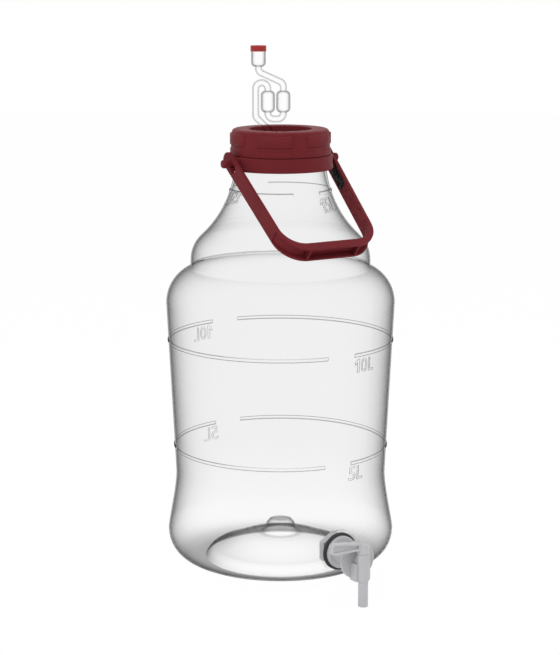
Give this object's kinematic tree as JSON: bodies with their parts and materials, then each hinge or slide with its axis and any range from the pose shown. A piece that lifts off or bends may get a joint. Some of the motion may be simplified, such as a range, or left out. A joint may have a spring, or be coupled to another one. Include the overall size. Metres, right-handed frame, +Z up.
{
  "type": "carboy with spigot",
  "caption": "Clear blown carboy with a red screw cap, a twin-bubble airlock, a swing carrying handle and a lever tap near the base.",
  "frame": {"origin": "centre of the ring that the bottle stands on", "axes": "+Z up along the bottle's axis, -Y towards the tap, X along the carrying handle's pivot"},
  "size_m": [0.2436, 0.2898, 0.5634],
  "materials": {
    "clear_pet": "clear, glossy",
    "clear_airlock": "clear, glossy",
    "dark_red_plastic": "satin",
    "bright_red_plastic": "gloss",
    "tap_plastic": "satin, slightly translucent",
    "black_rubber": "matte"
  },
  "bodies": {
    "vessel": {"bottle": "clear_pet", "carry_collar": "dark_red_plastic", "tap_body": "tap_plastic", "tap_outer_gasket": "black_rubber", "tap_inner_gasket": "black_rubber", "tap_nut": "tap_plastic"},
    "seal_ring": {"cap_seal": "black_rubber"},
    "lid": {"screw_cap": "dark_red_plastic", "airlock_grommet": "black_rubber"},
    "airlock_tube": {"airlock": "clear_airlock"},
    "airlock_lid": {"airlock_cap": "bright_red_plastic"},
    "bail": {"bail_handle": "dark_red_plastic"},
    "lever": {"tap_lever": "tap_plastic"}
  },
  "joints": [
    {"name": "cap_rise", "type": "slide", "parent": "vessel", "child": "seal_ring", "axis": [0, 0, 1], "range_m": [0, 0.0241]},
    {"name": "cap_turn", "type": "hinge", "parent": "seal_ring", "child": "lid", "pos_m": [0, 0, 0.45], "axis": [0, 0, 1], "range_deg": [0, 1440]},
    {"name": "airlock_pull", "type": "slide", "parent": "lid", "child": "airlock_tube", "axis": [0, 0, 1], "range_m": [0, 0.03]},
    {"name": "airlock_cap_pull", "type": "slide", "parent": "airlock_tube", "child": "airlock_lid", "axis": [0, 0, 1], "range_m": [0, 0.01]},
    {"name": "bail_swing", "type": "hinge", "parent": "vessel", "child": "bail", "pos_m": [0, 0, 0.4323], "axis": [-1, 0, 0], "range_deg": [0, 259]},
    {"name": "tap_turn", "type": "hinge", "parent": "vessel", "child": "lever", "pos_m": [0, -0.1615, 0.045], "axis": [0, 0, 1], "range_deg": [0, 90]}
  ],
  "couplings": [
    {"joint": "cap_rise", "follows": "cap_turn", "m_per_rad": 0.00095493}
  ]
}
